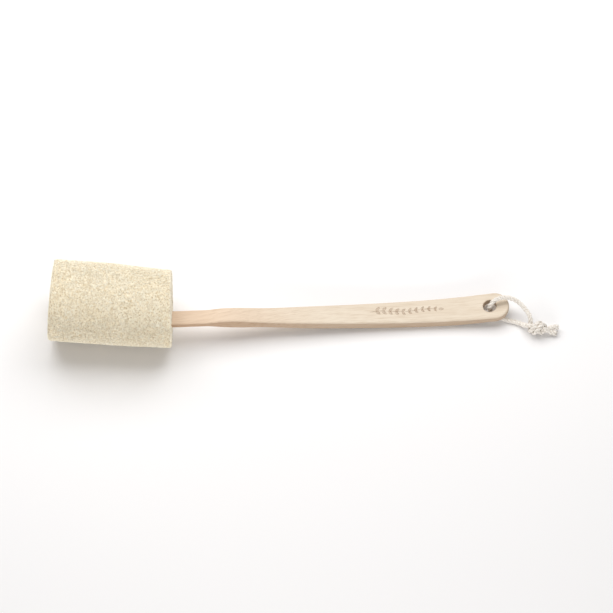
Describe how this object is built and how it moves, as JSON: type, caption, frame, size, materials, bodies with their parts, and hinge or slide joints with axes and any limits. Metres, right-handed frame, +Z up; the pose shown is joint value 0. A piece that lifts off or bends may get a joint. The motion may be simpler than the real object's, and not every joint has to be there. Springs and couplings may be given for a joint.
{
  "type": "loofah back scrubber",
  "caption": "Long-handled bath scrubber: a section of natural loofah on a bowed wooden handle, with a knotted cotton hanging loop.",
  "frame": {"origin": "on the table, under the centre of the box around the handle and loofah (the cord is not counted)", "axes": "+X along the handle from the loofah to the hanging hole, +Y to the back, +Z up with the scrubber lying at rest on its belly"},
  "size_m": [0.4836, 0.093, 0.0742],
  "materials": {
    "handle_wood": "sanded, thin clear coat",
    "loofah_fibre": "dry open natural fibre",
    "dowel_wood": "raw",
    "cotton_cord": "twisted three-strand cotton"
  },
  "bodies": {
    "brush": {"handle": "handle_wood", "loofah": "loofah_fibre", "tenon_dowel": "dowel_wood"},
    "hang_loop": {"cord_upper_run": "cotton_cord", "cord_lower_run": "cotton_cord", "cord_knot": "cotton_cord", "cord_upper_tail": "cotton_cord", "cord_lower_tail": "cotton_cord"}
  },
  "joints": [
    {"name": "hang_loop_swing", "type": "hinge", "parent": "brush", "child": "hang_loop", "pos_m": [0.20069, -0.01332, 0.0085], "axis": [-0.0872, 0, 0.9962], "range_deg": [-100, 120]}
  ]
}
